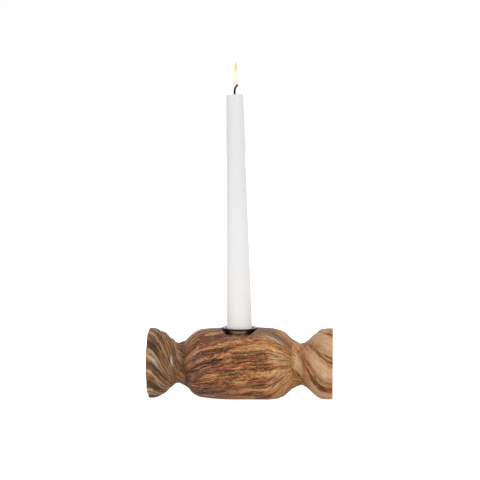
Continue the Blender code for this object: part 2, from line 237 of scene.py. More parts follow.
# The rim is what lies outside RIM_INSIDE and above RIM_FOOT. It is raised by RIM_RISE, and by twice
# that on its high side.
RIM_INSIDE, RIM_FOOT, RIM_RISE = 4.0 * MM, -0.6 * MM, 0.6 * MM
WICK_RADIUS = 0.85 * MM
WICK_FOOT = 0.2 * MM
WICK_STRAIGHT_RINGS, WICK_SPAN_STEPS = 30, 8
WICK_SIDES, WICK_LOBES, WICK_LOBE_SHARE = 24, 3, 0.08
WICK_LAY = 0.9 * MM  # length over which the strands wind by one radian
WICK_PATH = [  # above the candle's top: (sideways, up)
    (0.0, -6.0 * MM),
    (-0.1 * MM, -0.5 * MM),
    (-0.15 * MM, 2.2 * MM),
    (0.0, 4.5 * MM),
    (0.3 * MM, 6.0 * MM),
    (1.0 * MM, 7.4 * MM),
    (1.9 * MM, 8.6 * MM),
    (2.7 * MM, 9.4 * MM),
]
FLAME_BASE, FLAME_TIP = 7.2 * MM, 29.4 * MM  # above the candle's top
FLAME_RADIUS = 2.15 * MM
FLAME_DRIFT = (0.55 * MM, 1.4 * MM)  # sideways, at the foot and at the tip
FLAME_NOTCH, NOTCH_SHARE = 3.2 * MM, 0.3  # its depth, and the share of the height that it shifts
CORE_FOOT, CORE_TIP = 4.5 * MM, 7.0 * MM  # how far inside the flame's ends its white core stops
CORE_SHARE = 0.66  # of the flame's radius
FLAME_SHAPE = [  # (share of the height, share of the radius)
    (0.0, 0.0),
    (0.04, 0.62),
    (0.15, 0.93),
    (0.3, 1.0),
    (0.5, 0.9),
    (0.7, 0.62),
    (0.88, 0.34),
    (1.0, 0.0),
]

CAMERA_PLACE = (80.8 * MM, -1430.0 * MM, 262.0 * MM)
CAMERA_AIM = (0.3 * MM, 0.0, 138.0 * MM)
CAMERA_LENS = 125.0
LIGHT_AIM = (0.0, 0.0, 80.0 * MM)
SURROUNDINGS_STRENGTH = 0.78
FLOOR_HALF_WIDTH = 6.0
FLOOR_GLOW = 0.2


# ---------------------------------------------------------------- materials


class Material:
    """A Principled material and short ways to add nodes to it."""

    def __init__(self, name):
        self.material = bpy.data.materials.new(name)
        self.material.use_nodes = True
        self.tree = self.material.node_tree
        self.shader = self.tree.nodes["Principled BSDF"]

    def use_on(self, thing):
        thing.data.materials.clear()
        thing.data.materials.append(self.material)

    def give(self, socket, value):
        """Links an output to a socket, or sets its value."""
        if isinstance(value, bpy.types.NodeSocket):
            self.tree.links.new(value, socket)
        else:
            socket.default_value = value

    def set(self, **inputs):
        """Inputs of the shader, with _ for each space in a name."""
        for name, value in inputs.items():
            self.give(self.shader.inputs[name.replace("_", " ")], value)

    def add(self, kind, settings=None, **inputs):
        made = self.tree.nodes.new(kind)
        for name, value in (settings or {}).items():
            setattr(made, name, value)
        for name, value in inputs.items():
            self.give(made.inputs[name], value)
        return made

    def place(self):
        return self.add("ShaderNodeTexCoord").outputs["Object"]

    def attribute(self, name, output):
        return self.add("ShaderNodeAttribute", {"attribute_name": name}).outputs[output]

    def stretch(self, vector, factors):
        """A vector times (x, y, z) factors."""
        made = self.add("ShaderNodeVectorMath", {"operation": "MULTIPLY"})
        self.give(made.inputs[0], vector)
        made.inputs[1].default_value = factors
        return made.outputs["Vector"]

    def noise(self, vector, detail=2.0, roughness=0.5, distortion=0.0):
        made = self.add("ShaderNodeTexNoise", Vector=vector, Scale=1.0, Detail=detail)
        made.inputs["Roughness"].default_value = roughness
        made.inputs["Distortion"].default_value = distortion
        return made.outputs["Fac"]

    def warp(self, vector, size, amount):
        """A vector moved by up to half of amount, in blotches of the given size."""
        blotches = self.stretch(self.place(), (1 / size, 1 / size, 1 / size))
        pattern = self.add("ShaderNodeTexNoise", Vector=blotches, Scale=1.0).outputs["Color"]
        move = self.add("ShaderNodeVectorMath", {"operation": "MULTIPLY_ADD"})
        self.give(move.inputs[0], pattern)
        move.inputs[1].default_value = (amount, amount, amount)
        self.give(move.inputs[2], vector)
        return move.outputs["Vector"]

    def math(self, operation, a, b=0.0):
        made = self.add("ShaderNodeMath", {"operation": operation})
        self.give(made.inputs[0], a)
        self.give(made.inputs[1], b)
        return made.outputs["Value"]

    def tone(self, *layers):
        """Half plus the weighted departures from half of (value, weight) layers."""
        total = 0.5
        for value, weight in layers:
            departure = self.math("SUBTRACT", value, 0.5)
            total = self.math("ADD", self.math("MULTIPLY", departure, weight), total)
        return total

    def rescale(self, value, low, high, to_low=0.0, to_high=1.0):
        made = self.add("ShaderNodeMapRange", {"interpolation_type": "SMOOTHSTEP"}, Value=value)
        made.inputs["From Min"].default_value = low
        made.inputs["From Max"].default_value = high
        made.inputs["To Min"].default_value = to_low
        made.inputs["To Max"].default_value = to_high
        return made.outputs["Result"]

    def ramp(self, value, stops):
        """A colour for each value, from (value, (r, g, b)) stops."""
        made = self.add("ShaderNodeValToRGB", Fac=value)
        points = made.color_ramp.elements
        while len(points) < len(stops):
            points.new(0.5)
        for point, (place, colour) in zip(points, stops):
            point.position = place
            point.color = (*colour, 1.0)
        return made.outputs["Color"]

    def mix(self, share, a, b, blend="MIX"):
        made = self.add("ShaderNodeMix", {"data_type": "RGBA", "blend_type": blend})
        self.give(made.inputs["Factor"], share)
        for socket, value in ((made.inputs[6], a), (made.inputs[7], b)):
            self.give(socket, (*value, 1.0) if isinstance(value, tuple) else value)
        return made.outputs[2]

    def bump(self, height, distance, strength=1.0, under=None):
        made = self.add("ShaderNodeBump", Height=height, Distance=distance, Strength=strength)
        if under is not None:
            self.give(made.inputs["Normal"], under)
        return made.outputs["Normal"]


# The wood's colours at five tones, dark to light, for each stretch of the block.
TONES = (0.0, 0.28, 0.5, 0.7, 1.0)
LEFT_FAN_WOOD = [
    (0.026, 0.013, 0.005),
    (0.115, 0.054, 0.02),
    (0.265, 0.128, 0.049),
    (0.42, 0.215, 0.085),
    (0.68, 0.44, 0.24),
]
LEFT_WOOD = [
    (0.024, 0.01, 0.005),
    (0.094, 0.033, 0.014),
    (0.2, 0.071, 0.03),
    (0.33, 0.135, 0.06),
    (0.6, 0.36, 0.19),
]
MIDDLE_WOOD = [
    (0.03, 0.011, 0.005),
    (0.105, 0.035, 0.013),
    (0.225, 0.079, 0.029),
    (0.38, 0.16, 0.06),
    (0.64, 0.37, 0.165),
]
RIGHT_WOOD = [
    (0.066, 0.024, 0.008),
    (0.2, 0.076, 0.025),
    (0.38, 0.162, 0.058),
    (0.52, 0.257, 0.098),
    (0.74, 0.47, 0.235),
]
# The stretches after the left fan: (colours, where they set in, where they are whole).
NEXT_STRETCHES = [
    (LEFT_WOOD, -60 * MM, -44 * MM),
    (MIDDLE_WOOD, -32 * MM, 0.0),
    (RIGHT_WOOD, 4 * MM, 38 * MM),
]
COLOUR_WANDER = 90.0 * MM  # how far the border between two stretches strays, at the very most
# How a mark's colour is darkened at each tone of the wood under it.
MARK_TONES = [
    (0.0, (0.3, 0.28, 0.26)),
    (0.3, (0.7, 0.68, 0.66)),
    (0.5, (1.0, 1.0, 1.0)),
    (1.0, (1.0, 1.0, 1.0)),
]
PORE_COLOUR = (0.028, 0.016, 0.011)
FLECK_COLOUR = (0.66, 0.46, 0.3)
PAINTED_SHADE_AND_END_GRAIN_COLOUR = (0.028, 0.017, 0.01)
WORN_AND_HIGHLIGHTED_CREST_COLOUR = (0.72, 0.52, 0.33)


def wood_material():
    """Lacquered hardwood: streaked along its grain, olive, red and golden along its length."""
    wood = Material("lacquered_hardwood")
    grain = wood.warp(wood.attribute("grain", "Vector"), 11 * MM, 4 * MM)
    grain = wood.warp(grain, 3.5 * MM, 0.9 * MM)
    painted_shade_and_end_grain = wood.attribute("painted_shade_and_end_grain", "Fac")
    crest = wood.attribute("crest", "Fac")
    along_x = wood.add("ShaderNodeSeparateXYZ", Vector=wood.place()).outputs["X"]

    def fibres(length, width, detail, distortion=0.0):
        """Noise drawn out along the fibres. Length and width in millimetres."""
        factors = (PER_MM / length, PER_MM / width, PER_MM / width)
        return wood.noise(wood.stretch(grain, factors), detail, 0.62, distortion)

    broad = fibres(38.0, 7.0, 3.0, 0.6)
    streaks = fibres(15.0, 1.6, 4.0, 0.7)
    lines = fibres(8.0, 0.7, 3.0, 0.4)
    hairs = fibres(2.6, 0.4, 3.0, 0.5)
    pores = fibres(5.5, 0.75, 2.0, 0.4)
    flecks = fibres(5.0, 0.75, 2.0, 0.4)
    redness = fibres(17.0, 2.3, 2.0, 0.6)
    specks = fibres(1.3, 0.8, 1.0)
    tone = wood.tone((broad, 1.5), (streaks, 2.3), (lines, 1.4), (hairs, 1.1), (specks, 0.6))
    astray = wood.math("MULTIPLY", wood.math("SUBTRACT", broad, 0.5), COLOUR_WANDER)
    stretch_place = wood.math("ADD", along_x, astray)
    colour = wood.ramp(tone, list(zip(TONES, LEFT_FAN_WOOD)))
    for colours, start, end in NEXT_STRETCHES:
        next_colour = wood.ramp(tone, list(zip(TONES, colours)))
        colour = wood.mix(wood.rescale(stretch_place, start, end), colour, next_colour)
    hue = wood.ramp(redness, [(0.38, (0.9, 1.03, 0.96)), (0.62, (1.12, 0.9, 0.88))])
    colour = wood.mix(1.0, colour, hue, "MULTIPLY")
    # The marks: stains and mineral streaks, and painted highlights, sheen and shade.
    stain_and_painted_light = wood.mix(1.0, wood.attribute("stain_and_painted_light", "Color"), wood.ramp(tone, MARK_TONES), "MULTIPLY")
    uneven = wood.rescale(lines, 0.3, 0.6, 0.7, 1.0)
    stain_and_painted_light_share = wood.math("MULTIPLY", wood.attribute("stain_and_painted_light_share", "Fac"), uneven)
    colour = wood.mix(stain_and_painted_light_share, colour, stain_and_painted_light)
    colour = wood.mix(wood.rescale(pores, 0.63, 0.72, 0.0, 0.72), colour, PORE_COLOUR)
    colour = wood.mix(wood.rescale(flecks, 0.64, 0.74, 0.0, 0.5), colour, FLECK_COLOUR)
    # Painted shade in the folds and creases, and darker end grain on the sawn ends.
    colour = wood.mix(wood.math("MULTIPLY", painted_shade_and_end_grain, 0.78), colour, PAINTED_SHADE_AND_END_GRAIN_COLOUR)
    # The fans' crests are worn pale, and their lighter colour is also a painted highlight.
    colour = wood.mix(wood.math("MULTIPLY", crest, 0.45), colour, WORN_AND_HIGHLIGHTED_CREST_COLOUR)
    gloss = wood.rescale(streaks, 0.3, 0.7, 0.42, 0.26)
    relief = wood.bump(lines, 0.25 * MM, 0.5)
    relief = wood.bump(streaks, 0.6 * MM, 0.75, relief)
    wood.set(
        Base_Color=colour,
        Roughness=gloss,
        Specular_IOR_Level=0.12,
        Coat_Weight=0.12,
        Coat_Roughness=0.12,
        Normal=relief,
    )
    return wood


def cup_material():
    """Steel with turning marks round it: polished flange, black bead, painted shade under the flange
    and in its mouth, and painted reflection of the wood on the tube.
    """
    steel = Material("spun_steel")
    place = steel.place()
    wear = steel.noise(steel.stretch(place, (300.0, 300.0, 900.0)), 4.0, 0.6)
    parts = steel.add("ShaderNodeSeparateXYZ", Vector=place)
    height = parts.outputs["Z"]
    across = steel.math("POWER", parts.outputs["X"], 2.0)
    deep = steel.math("POWER", parts.outputs["Y"], 2.0)
    radius = steel.math("SQRT", steel.math("ADD", across, deep))
    rings = steel.add("ShaderNodeCombineXYZ", X=radius, Z=height).outputs["Vector"]
    turning = steel.noise(steel.stretch(rings, (7000.0, 1.0, 7000.0)), 2.0)
    polished = steel.ramp(wear, [(0.32, (0.34, 0.34, 0.34)), (0.68, (0.56, 0.57, 0.57))])
    # Painted reflection of the wood: the tube's steel is coloured brown.
    painted_wood_reflection = steel.ramp(wear, [(0.32, (0.16, 0.09, 0.055)), (0.68, (0.4, 0.25, 0.16))])
    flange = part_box("candle_cup")[1].z - CUP_BEAD
    # Painted shade: near black under the flange and in its mouth round the candle.
    on_throat = steel.rescale(height, flange - 1.6 * MM, flange - 1.1 * MM)
    on_top = steel.rescale(height, flange + 0.1 * MM, flange + 0.35 * MM)
    colour = steel.mix(on_top, steel.mix(on_throat, painted_wood_reflection, (0.03, 0.028, 0.025)), polished)
    on_bead = steel.rescale(radius, CUP_BEAD_CENTRE - 0.7 * CUP_BEAD, CUP_BEAD_CENTRE - 0.4 * CUP_BEAD)
    colour = steel.mix(on_bead, colour, (0.035, 0.035, 0.032))
    steel.set(
        Base_Color=colour,
        Metallic=1.0,
        Roughness=steel.rescale(wear, 0.3, 0.7, 0.2, 0.36),
        Normal=steel.bump(turning, 0.04 * MM, 0.4),
    )
    return steel


def screw_material():
    """Zinc plate, dull and blotched."""
    zinc = Material("zinc_plate")
    blotches = zinc.noise(zinc.stretch(zinc.place(), (900.0, 900.0, 900.0)), 3.0)
    colour = zinc.ramp(blotches, [(0.35, (0.42, 0.4, 0.34)), (0.65, (0.62, 0.6, 0.55))])
    zinc.set(
        Base_Color=colour,
        Metallic=1.0,
        Roughness=zinc.rescale(blotches, 0.3, 0.7, 0.25, 0.42),
        Normal=zinc.bump(blotches, 0.05 * MM, 0.3),
    )
    return zinc


def wax_material():
    """White wax: slightly mottled and translucent, warmer at its foot, and greyer towards its top with
    painted shade.
    """
    wax = Material("white_wax")
    place = wax.place()
    mottle = wax.noise(wax.stretch(place, (70.0, 70.0, 22.0)), 3.0)
    grainy = wax.noise(wax.stretch(place, (1100.0, 1100.0, 500.0)), 2.0)
    height = wax.add("ShaderNodeSeparateXYZ", Vector=place).outputs["Z"]
    white = wax.ramp(mottle, [(0.35, (0.8, 0.8, 0.8)), (0.65, (0.835, 0.835, 0.835))])
    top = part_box("candle")[1].z
    # Painted shade: the wax is greyer towards the top.
    white = wax.mix(wax.rescale(height, CREST + 20 * MM, top - 30 * MM), white, (0.715, 0.715, 0.715))
    warmth = wax.rescale(height, CREST, CREST + 80 * MM, 1.0, 0.0)
    colour = wax.mix(wax.math("MULTIPLY", warmth, 0.6), white, (0.8, 0.765, 0.74))
    wax.set(
        Base_Color=colour,
        Roughness=wax.rescale(mottle, 0.3, 0.7, 0.42, 0.55),
        Subsurface_Weight=0.3,
        Subsurface_Radius=(4.0 * MM, 3.4 * MM, 3.0 * MM),
        Subsurface_Scale=1.0,
        Normal=wax.bump(grainy, 0.05 * MM, 0.35),
    )
    return wax


def wick_material():
    """Cotton charred black at its foot, reddish brown where it glows at the tip."""
    char = Material("charred_cotton")
    place = char.place()
    fuzz = char.noise(char.stretch(place, (2500.0, 2500.0, 2500.0)), 3.0)
    height = char.add("ShaderNodeSeparateXYZ", Vector=place).outputs["Z"]
    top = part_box("wick")[1].z
    black = char.ramp(fuzz, [(0.3, (0.001, 0.001, 0.001)), (0.7, (0.008, 0.006, 0.005))])
    glow = char.ramp(fuzz, [(0.3, (0.05, 0.013, 0.006)), (0.7, (0.14, 0.04, 0.018))])
    colour = char.mix(char.rescale(height, top - 4.6 * MM, top - 2.2 * MM), black, glow)
    char.set(Base_Color=colour, Roughness=0.9, Specular_IOR_Level=0.1, Normal=char.bump(fuzz, 0.2 * MM))
    return char


# ---------------------------------------------------------------- objects and meshes


def add_object(name, data):
    made = bpy.data.objects.new(name, data)
    bpy.context.scene.collection.objects.link(made)
    return made


def mesh_from(form, name):
    """A mesh with what a bmesh holds. The bmesh is freed."""
    mesh = bpy.data.meshes.new(name)
    form.to_mesh(mesh)
    form.free()
    return mesh


def apply_modifiers(thing):
    graph = bpy.context.evaluated_depsgraph_get()
    finished = bpy.data.meshes.new_from_object(thing.evaluated_get(graph))
    thing.modifiers.clear()
    thing.data = finished


def coordinates(mesh):
    found = np.empty(len(mesh.vertices) * 3)
    mesh.vertices.foreach_get("co", found)
    return found.reshape(-1, 3)


# ---------------------------------------------------------------- camera, lights and surroundings


def aimed(place, aim):
    """The rotation that points a camera or a light from a place at its aim."""
    return (Vector(aim) - Vector(place)).to_track_quat("-Z", "Y").to_euler()


def make_camera():
    lens = bpy.data.cameras.new("camera")
    lens.lens = CAMERA_LENS
    camera = add_object("camera", lens)
    camera.location = CAMERA_PLACE
    camera.rotation_euler = aimed(CAMERA_PLACE, CAMERA_AIM)
    bpy.context.scene.camera = camera


def area_light(name, place, size, power, colour=(1.0, 1.0, 1.0)):
    light = bpy.data.lights.new(name, "AREA")
    light.size = size
    light.energy = power
    light.color = colour
    lamp = add_object(name, light)
    lamp.location = place
    lamp.rotation_euler = aimed(place, LIGHT_AIM)


def make_studio():
    """Soft light from all round, strongest from the right front, with white behind everything."""
    area_light("key", (0.9, -1.2, 0.85), 0.45, 6.5, (1.0, 0.985, 0.96))
    area_light("fill", (-1.4, -1.2, 0.35), 0.8, 5.5)
    bpy.context.scene.view_settings.view_transform = "Standard"
    world = bpy.data.worlds.new("studio")
    bpy.context.scene.world = world
    world.use_nodes = True
    tree = world.node_tree
    around = tree.nodes["Background"]
    around.inputs["Color"].default_value = (1.0, 1.0, 1.0, 1.0)
    around.inputs["Strength"].default_value = SURROUNDINGS_STRENGTH
    seen = tree.nodes.new("ShaderNodeBackground")
    seen.inputs["Color"].default_value = (1.0, 1.0, 1.0, 1.0)
    path = tree.nodes.new("ShaderNodeLightPath")
    pick = tree.nodes.new("ShaderNodeMixShader")
    tree.links.new(path.outputs["Is Camera Ray"], pick.inputs["Fac"])
    tree.links.new(around.outputs["Background"], pick.inputs[1])
    tree.links.new(seen.outputs["Background"], pick.inputs[2])
    tree.links.new(pick.outputs["Shader"], tree.nodes["World Output"].inputs["Surface"])
    make_floor()


def make_floor():
    """White paper that glows: faintly on the object, and fully to the camera."""
    form = bmesh.new()
    bmesh.ops.create_grid(form, x_segments=1, y_segments=1, size=FLOOR_HALF_WIDTH)
    floor = add_object("floor", mesh_from(form, "floor"))
    paper = Material("white_paper")
    camera_ray = paper.add("ShaderNodeLightPath").outputs["Is Camera Ray"]
    paper.set(
        Base_Color=(0.78, 0.78, 0.78, 1.0),
        Roughness=0.9,
        Specular_IOR_Level=0.0,
        Emission_Color=(1.0, 1.0, 1.0, 1.0),
        Emission_Strength=paper.math("MAXIMUM", camera_ray, FLOOR_GLOW),
    )
    paper.use_on(floor)


# ---------------------------------------------------------------- the carved block


def along(points, x):
    """Heights at x of a smooth curve through points that never overshoots them."""
    place, height = np.array(points).T
    width = np.diff(place)
    slope = np.diff(height) / width
    together = slope[:-1] * slope[1:]
    shared = np.where(together > 0, slope[:-1] + slope[1:], 1.0)
    slopes = np.concatenate([[0.0], np.where(together > 0, 2 * together / shared, 0.0), [0.0]])
    x = np.clip(x, place[0], place[-1])
    i = np.clip(np.searchsorted(place, x, side="right") - 1, 0, len(width) - 1)
    t = (x - place[i]) / width[i]
    return (
        height[i] * (1 + 2 * t) * (1 - t) ** 2
        + slopes[i] * width[i] * t * (1 - t) ** 2
        + height[i + 1] * t * t * (3 - 2 * t)
        - slopes[i + 1] * width[i] * t * t * (1 - t)
    )


def smooth_step(value, low, high):
    """0 below low, 1 above high, and a smooth rise between them."""
    t = np.clip((value - low) / (high - low), 0, 1)
    return t * t * (3 - 2 * t)


def rim_place(x, angle, side):
    """Angles on the rim of the fold lines that pass through each (x, angle)."""
    fan = np.clip((side["end"] - x) / (side["end"] - side["waist"]), 0, 1)
    past_waist = np.maximum(abs(side["waist"]) - np.abs(x), 0.0)
    evenly = FAN_WRAP * fan**FAN_WRAP_POWER + NECK_WRAP * (1 - np.exp(-past_waist / NECK_REACH))
    target = angle - side["turn"] * evenly
    winding = side["turn"] * side["twist"] * fan**TWIST_POWER
    # How much a fold winds depends on its own place on the rim, so the place is closed in on.
    place = target - winding
    for _ in range(NEWTON_STEPS):
        lean = place - STEEPEST
        error = place + winding * (1 + side["unevenness"] * np.cos(lean)) - target
        place = place - error / (1 - winding * side["unevenness"] * np.sin(lean))
    return place


def folds_at(x, angle):
    """How deep in its fold each point lies, 0 to 1, and how far in."""
    share = np.zeros_like(x)
    for side, here in ((LEFT_SIDE, x < 0), (RIGHT_SIDE, x >= 0)):
        place = rim_place(x, angle, side)
        turn = side["count"] * (side["rim_angle"] - place) / (2 * math.pi)
        cut = 1 - FOLD_BEAT + FOLD_BEAT * np.cos(side["beat"] * (place - side["deepest"]))
        share = np.where(here, cut * along(side["shape"], turn % 1.0), share)
    return share, along(FOLD_DEPTHS, x) * share


def past_crease(x, angle, crease):
    """How far along X each point lies from the middle of a crease."""
    return x - crease["place"] - crease["lean"] * np.sin(angle)


def crease_share(x, angle, crease):
    """How far each point lies in a crease, 0 to 1."""
    return np.exp(-((past_crease(x, angle, crease) / crease["half_width"]) ** 2))


def grain_angle(x, angle):
    """Label of the grain line through each point: on the fans the fold line's own rim place."""
    past = x - LEFT_WAIST
    belly = angle + SWIRL * np.exp(-past / SWIRL_REACH) + SWEEP * np.exp(-past / SWEEP_REACH)
    gathered = smooth_step(x, GATHER_START, GATHER_END)
    belly = belly + GATHER * gathered * np.sin(angle - GATHER_ANGLE)
    on_left = past_crease(x, angle, LEFT_CREASE) < 0
    on_right = past_crease(x, angle, RIGHT_CREASE) > 0
    left, right = rim_place(x, angle, LEFT_SIDE), rim_place(x, angle, RIGHT_SIDE)
    return np.where(on_left, left, np.where(on_right, right, belly))


def grain_place(x, angle):
    """Places in the wood, drawn straight: the grain runs along X."""
    turned = grain_angle(x, angle)
    return np.stack([x, -GRAIN_RADIUS * np.cos(turned), GRAIN_RADIUS * np.sin(turned)], axis=-1)


def grain_noise(points, length, width):
    """Noise drawn out along the grain, one value for each point."""
    scaled = points / np.array([length, width, width])
    return np.array([noise.noise(Vector(point)) for point in scaled])


def carved_radius(x, angle):
    """Distance from the middle of the section to the folded, creased and chiselled surface."""
    _, depth = folds_at(x, angle)
    radius = along(OUTLINE, x) - depth
    for crease in (LEFT_CREASE, RIGHT_CREASE):
        radius = radius - crease["depth"] * crease_share(x, angle, crease)
    points = grain_place(x, angle)
    for rise, length, width in CHISEL_MARKS:
        radius = radius + rise * grain_noise(points, length, width)
    return radius


def block_stations():
    """(x, share of the radius, inset) for each ring of the block, from the left end to the right."""
    face = np.linspace(0, 1, FACE_RINGS + 1)[:-1]
    stations = [(LEFT_END, share, 0.0) for share in face]
    for angle in np.radians(np.linspace(0, 90, ARRIS_STEPS + 1)[:-1]):
        back = LEFT_ARRIS * (1 - math.sin(angle))
        stations.append((LEFT_END + LEFT_ARRIS - LEFT_ARRIS * math.cos(angle), 1.0, back))
    x = LEFT_END + LEFT_ARRIS
    while x < RIGHT_END - RIGHT_ARRIS - FINE_STEP / 2:
        stations.append((x, 1.0, 0.0))
        x += COARSE_STEP if abs(x) < COARSE_HALF_LENGTH else FINE_STEP
    stations += [(RIGHT_END - RIGHT_ARRIS, 1.0, 0.0)]
    stations += [(RIGHT_END - 0.3 * RIGHT_ARRIS, 1.0, 0.3 * RIGHT_ARRIS), (RIGHT_END, 1.0, RIGHT_ARRIS)]
    stations += [(RIGHT_END, share, 0.0) for share in face[::-1]]
    return np.array(stations)


def carve_block():
    """A round blank, a sphere whose poles lie on X, with each ring moved to its carved place."""
    stations = block_stations()
    rings = len(stations) - 1
    form = bmesh.new()
    bmesh.ops.create_uvsphere(form, u_segments=BLOCK_SEGMENTS, v_segments=rings, radius=1.0)
    mesh = mesh_from(form, "carved_block")
    unit = coordinates(mesh)
    ring = np.rint(np.arccos(np.clip(unit[:, 2], -1, 1)) * rings / math.pi).astype(int)
    x, share, inset = stations[ring].T
    angle = np.arctan2(unit[:, 0], -unit[:, 1])
    radius = share * (carved_radius(x, angle) - inset)
    middle = AXIS_HEIGHT + along(WANDER, x)
    height = np.maximum(middle + radius * np.sin(angle), 0.0)
    placed = np.stack([x, -radius * np.cos(angle), height], axis=-1)
    mesh.vertices.foreach_set("co", placed.ravel())
    mesh.update()
    block = add_object("carved_block", mesh)
    cut_pocket(block)
    mark_wood(block.data)
    block.data.shade_smooth()
    block.data.set_sharp_from_angle(angle=math.radians(38))
    wood_material().use_on(block)
    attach(block, "holder")
    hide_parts("wood_body")


def cylinder(name, radius, low, high):
    form = bmesh.new()
    bmesh.ops.create_cone(
        form, cap_ends=True, segments=128, radius1=radius, radius2=radius, depth=high - low
    )
    bmesh.ops.translate(form, vec=(0, 0, (low + high) / 2), verts=form.verts)
    return add_object(name, mesh_from(form, name))


def cut_pocket(block):
    """Cuts the flat-floored pocket and the blind bore in the block's crest."""
    above = CREST + 5 * MM
    bore_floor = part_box("candle_cup")[0].z - FLOOR_CLEARANCE
    pocket = cylinder("pocket_cutter", POCKET_RADIUS, POCKET_FLOOR, above)
    pocket.scale.y = POCKET_STRETCH
    bore = cylinder("bore_cutter", BORE_RADIUS, bore_floor, above)
    for cutter in (pocket, bore):
        cut = block.modifiers.new("Cut", "BOOLEAN")
        cut.operation, cut.object = "DIFFERENCE", cutter
    apply_modifiers(block)
    for cutter in (pocket, bore):
        bpy.data.objects.remove(cutter)


def write_attribute(mesh, name, kind, field, values):
    """Stores one value, or one vector, for each vertex."""
    made = mesh.attributes.new(name, kind, "POINT")
    made.data.foreach_set(field, np.ascontiguousarray(values, dtype=np.float32).ravel())


def mark_wood(mesh):
    """Writes the grain, painted shade and end grain, crests and marks that the wood's material reads.
    """
    place = coordinates(mesh)
    x, across = place[:, 0], place[:, 1]
    height = place[:, 2] - AXIS_HEIGHT - along(WANDER, x)
    angle = np.arctan2(height, -across)
    grain = grain_place(x, angle)
    from_pith = np.hypot(across - PITH[0], height - PITH[1])
    round_pith = np.arctan2(across - PITH[0], height - PITH[1])
    rings = np.stack([round_pith * RING_RADIUS, from_pith, x], axis=-1)
    end_face = (x < LEFT_END + END_FACE_DEPTH) | (x > RIGHT_END - END_FACE_DEPTH)
    grain = np.where(end_face[:, None], rings, grain)
    write_attribute(mesh, "grain", "FLOAT_VECTOR", "vector", grain)
    share, depth = folds_at(x, angle)
    # Painted shade: darker the deeper a point lies in its fold, and in the creases.
    painted_shade_and_end_grain = np.clip(depth / DARKEST_DEPTH, 0, 1) ** 1.4
    for crease in (LEFT_CREASE, RIGHT_CREASE):
        shade = crease["shade"] + crease["shade_rise"] * np.sin(angle)
        painted_shade_and_end_grain += shade * crease_share(x, angle, crease)
    painted_shade_and_end_grain += np.where(end_face, END_FACE_SHADE, 0.0)
    write_attribute(mesh, "painted_shade_and_end_grain", "FLOAT", "value", np.clip(painted_shade_and_end_grain, 0, 1))
    # The fans' crests: worn pale, with a painted highlight.
    on_fan = smooth_step(np.abs(x), *FAN_START)
    crest = np.exp(-((share / CREST_SHARE) ** 2)) * on_fan * ~end_face
    write_attribute(mesh, "crest", "FLOAT", "value", crest)
    stain_and_painted_light, stain_and_painted_light_share = stains_and_painted_light_at(x, angle)
    write_attribute(mesh, "stain_and_painted_light", "FLOAT_VECTOR", "vector", stain_and_painted_light)
    write_attribute(mesh, "stain_and_painted_light_share", "FLOAT", "value", stain_and_painted_light_share * ~end_face)


def stains_and_painted_light_at(x, angle):
    """Colour and share of the marks, stains and painted light, at each point. Marks follow the grain.
    """
    label = grain_angle(x, angle)
    colour = np.zeros((len(x), 3))
    total = np.full(len(x), 1e-6)
    stain_and_painted_light_share = np.zeros(len(x))
    for along_x, at, length, width, tint, strength in STAINS_AND_PAINTED_LIGHT:
        line = grain_angle(np.array([along_x]), np.array([math.radians(at)]))[0]
        aside = (label - line + math.pi) % (2 * math.pi) - math.pi
        share = np.exp(-((x - along_x) / length) ** 4 - (GRAIN_RADIUS * aside / width) ** 2)
        weight = strength * share
        colour += weight[:, None] * np.array(tint)
        total += weight
        stain_and_painted_light_share = np.maximum(stain_and_painted_light_share, weight)
    return colour / total[:, None], stain_and_painted_light_share


# ---------------------------------------------------------------- cup, candle, wick and flame


def turned(name, profile, steps, closed=False):
    """A turned mesh from (radius, height) points, running down the outer side."""
    mesh = bpy.data.meshes.new(name)
    count = len(profile)
    edges = [(i, i + 1) for i in range(count - 1)] + ([(count - 1, 0)] if closed else [])
    mesh.from_pydata([(radius, 0, height) for radius, height in profile], edges, [])
    piece = add_object(name, mesh)
    screw = piece.modifiers.new("Screw", "SCREW")
    screw.steps = screw.render_steps = steps
    screw.use_merge_vertices = True
    screw.merge_threshold = 0.00001
    screw.use_smooth_shade = True
    apply_modifiers(piece)
    return piece


def arc(centre, radius, start, stop, count):
    """Points on an arc in the profile plane. Angles in degrees from the outward direction, upwards."""
    angles = np.radians(np.linspace(start, stop, count + 1))
    return [(centre[0] + radius * math.cos(a), centre[1] + radius * math.sin(a)) for a in angles]


def make_cup():
    """A spun tube with a floor, and a flat flange with a rolled bead at its mouth."""
    low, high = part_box("candle_cup")
    outer = BORE_RADIUS - SIDE_CLEARANCE
    flange = high.z - CUP_BEAD
    bead_edge = 180 - math.degrees(math.asin(CUP_WALL / 2 / CUP_BEAD))
    corner = (outer - CUP_BEND, low.z + CUP_BEND)
    mouth = (outer - CUP_WALL + CUP_THROAT_BEND, flange + CUP_WALL / 2 - CUP_THROAT_BEND)
    profile = arc((CUP_BEAD_CENTRE, flange), CUP_BEAD, bead_edge, -bead_edge, 18)
    profile += arc(mouth, CUP_THROAT_BEND - CUP_WALL, 90, 180, 6)
    profile += arc(corner, CUP_BEND, 0, -90, 8)
    profile += [(SCREW_HOLE_RADIUS, low.z), (SCREW_HOLE_RADIUS, low.z + CUP_WALL)]
    profile += arc(corner, CUP_BEND - CUP_WALL, -90, 0, 8)
    profile += arc(mouth, CUP_THROAT_BEND, 180, 90, 8)
    cup = turned("spun_cup", profile, 144, closed=True)
    cup.data.set_sharp_from_angle(angle=math.radians(50))
    cup_material().use_on(cup)
    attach(cup, "holder")
    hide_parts("candle_cup")


